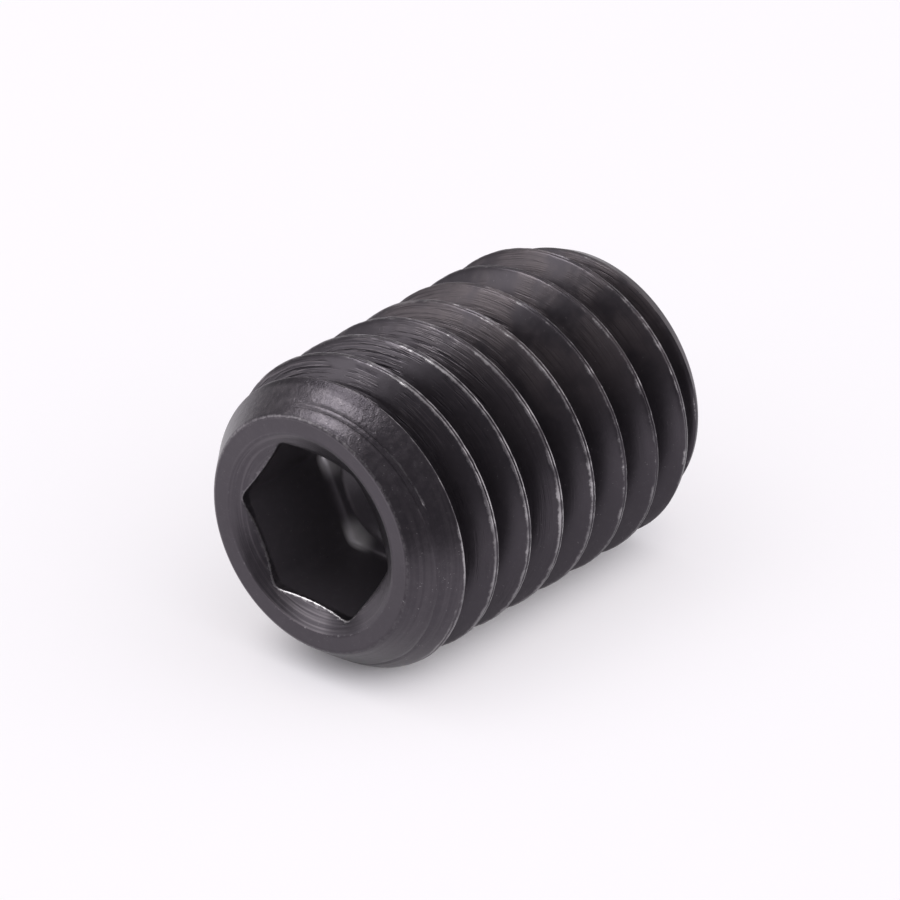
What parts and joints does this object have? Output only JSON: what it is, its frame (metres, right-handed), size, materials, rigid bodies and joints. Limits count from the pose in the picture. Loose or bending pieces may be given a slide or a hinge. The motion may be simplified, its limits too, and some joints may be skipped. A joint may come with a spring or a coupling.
{
  "type": "needle set screw",
  "caption": "Headless black steel set screw with a full-length thread, a countersunk hexagon socket in one end and a bevelled flat point, turned in with a key to clamp a needle or shaft.",
  "frame": {"origin": "centre of the flat point face, on the screw's axis", "axes": "+Z along the axis from the point to the socket face; +X is the side that faces up in the picture; +Y completes the right-handed set"},
  "size_m": [0.0058, 0.0058, 0.0079],
  "materials": {
    "black_steel": "black oxide, satin, worn bright on the thread crests"
  },
  "bodies": {
    "root": {"set_screw": "black_steel"}
  },
  "joints": []
}
